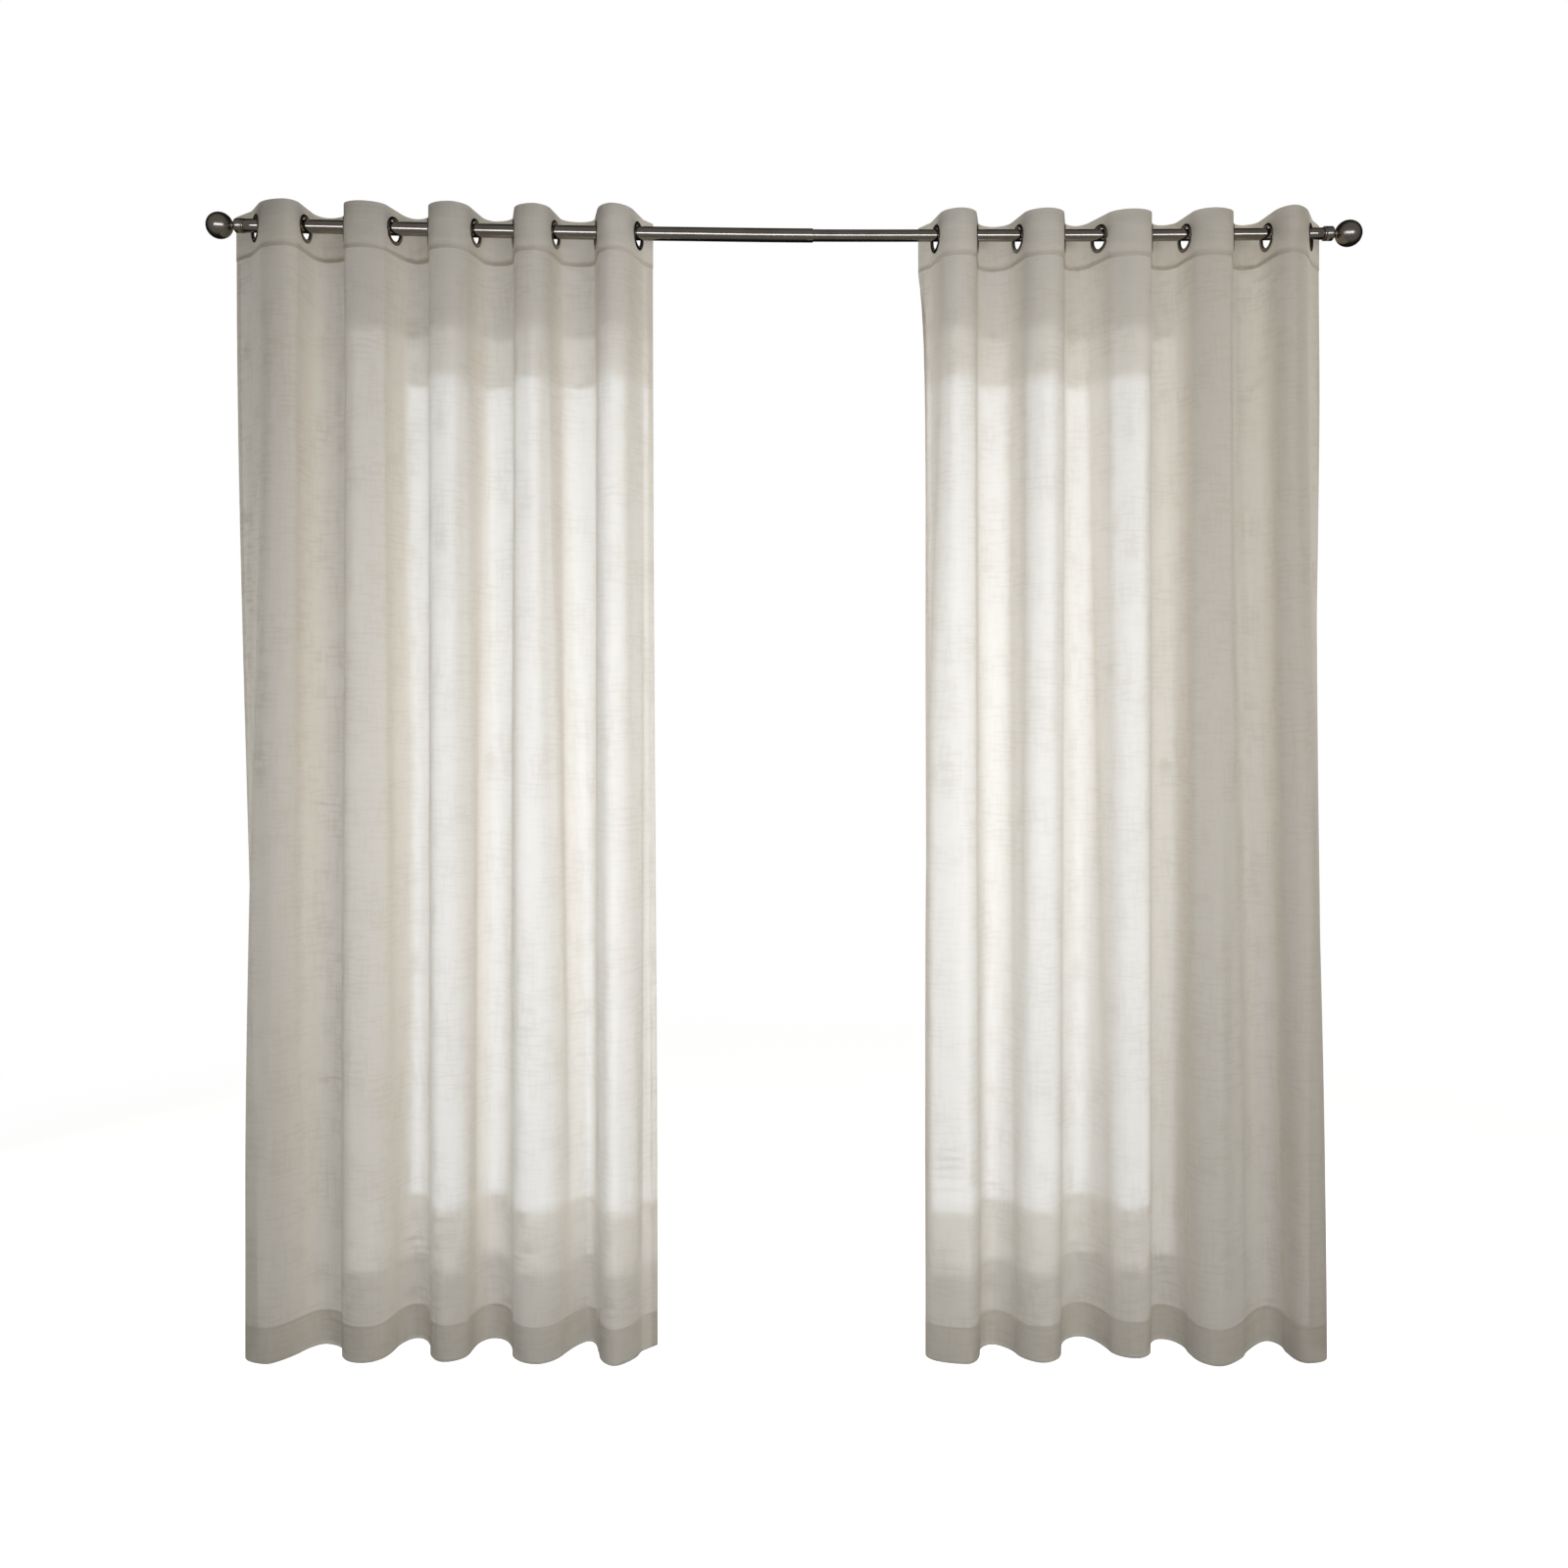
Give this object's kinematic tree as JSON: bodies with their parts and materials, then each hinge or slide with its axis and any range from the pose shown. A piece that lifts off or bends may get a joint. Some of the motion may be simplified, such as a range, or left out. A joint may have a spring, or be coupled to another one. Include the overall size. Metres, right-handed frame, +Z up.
{
  "type": "pair of sheer voile eyelet curtains on a telescoping curtain rod",
  "caption": "Pair of floor-length sheer voile curtains with eyelet headings, gathered in soft folds on a telescoping metal curtain rod with ball finials.",
  "frame": {"origin": "on the rod's centre line, midway between the two finials", "axes": "+X along the rod from the left finial to the right one as seen from the room, +Y towards the wall, +Z up"},
  "size_m": [2.1602, 0.1206, 2.1406],
  "materials": {
    "voile": "sheer off-white slub voile, plain weave with uneven threads both ways",
    "heading": "the same voile doubled over a stiffener, more opaque",
    "eyelet": "satin nickel plated ring",
    "rod": "dark satin nickel, drawn tube",
    "finial": "dark satin nickel, turned"
  },
  "bodies": {
    "root": {"curtain_left": "voile", "curtain_right": "voile", "heading_left": "heading", "heading_right": "heading", "eyelet_left_01": "eyelet", "eyelet_left_02": "eyelet", "eyelet_left_03": "eyelet", "eyelet_left_04": "eyelet", "eyelet_left_05": "eyelet", "eyelet_left_06": "eyelet", "eyelet_left_07": "eyelet", "eyelet_left_08": "eyelet", "eyelet_left_09": "eyelet", "eyelet_left_10": "eyelet", "eyelet_right_01": "eyelet", "eyelet_right_02": "eyelet", "eyelet_right_03": "eyelet", "eyelet_right_04": "eyelet", "eyelet_right_05": "eyelet", "eyelet_right_06": "eyelet", "eyelet_right_07": "eyelet", "eyelet_right_08": "eyelet", "eyelet_right_09": "eyelet", "eyelet_right_10": "eyelet", "rod_outer_tube": "rod", "rod_inner_tube": "rod", "finial_left": "finial", "finial_right": "finial"}
  },
  "joints": []
}
